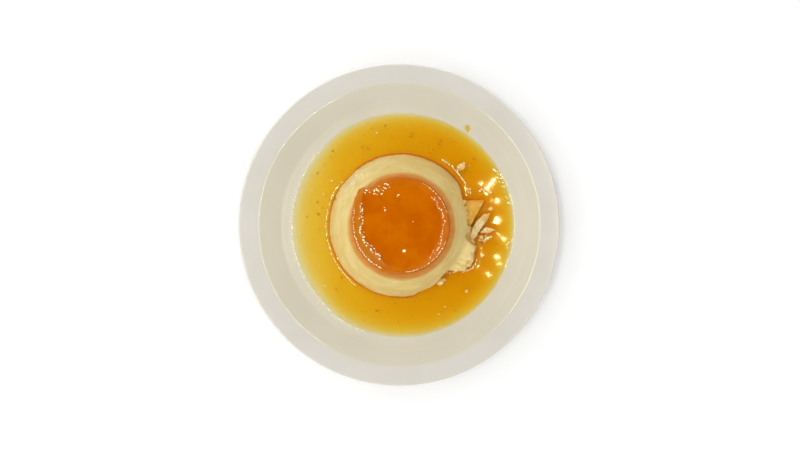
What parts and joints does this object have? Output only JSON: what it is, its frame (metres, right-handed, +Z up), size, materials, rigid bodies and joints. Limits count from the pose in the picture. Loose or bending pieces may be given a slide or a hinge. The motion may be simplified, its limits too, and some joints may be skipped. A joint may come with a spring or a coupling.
{
  "type": "caramel pudding in a dish",
  "caption": "Turned-out custard pudding with a caramel top, standing in caramel sauce in a shallow round porcelain dish.",
  "frame": {"origin": "middle of the dish's foot ring, on the surface it stands on", "axes": "+Z up along the dish's axis, +X towards the broken side of the pudding"},
  "size_m": [0.17, 0.17, 0.0516],
  "materials": {
    "porcelain": "smooth glossy ivory-white glaze",
    "custard": "moist cream-yellow set custard, satin, faintly streaked",
    "caramel": "wet glossy amber caramel over custard",
    "sauce": "clear glossy golden syrup",
    "stained_custard": "custard skin stained golden by caramel, wet",
    "torn_custard": "pale torn custard, moist and rough"
  },
  "bodies": {
    "root": {"dish": "porcelain", "pudding": "custard", "caramel_top": "caramel", "caramel_sauce": "sauce", "broken_skin": "stained_custard", "broken_strip": "torn_custard", "broken_flake": "torn_custard"}
  },
  "joints": []
}
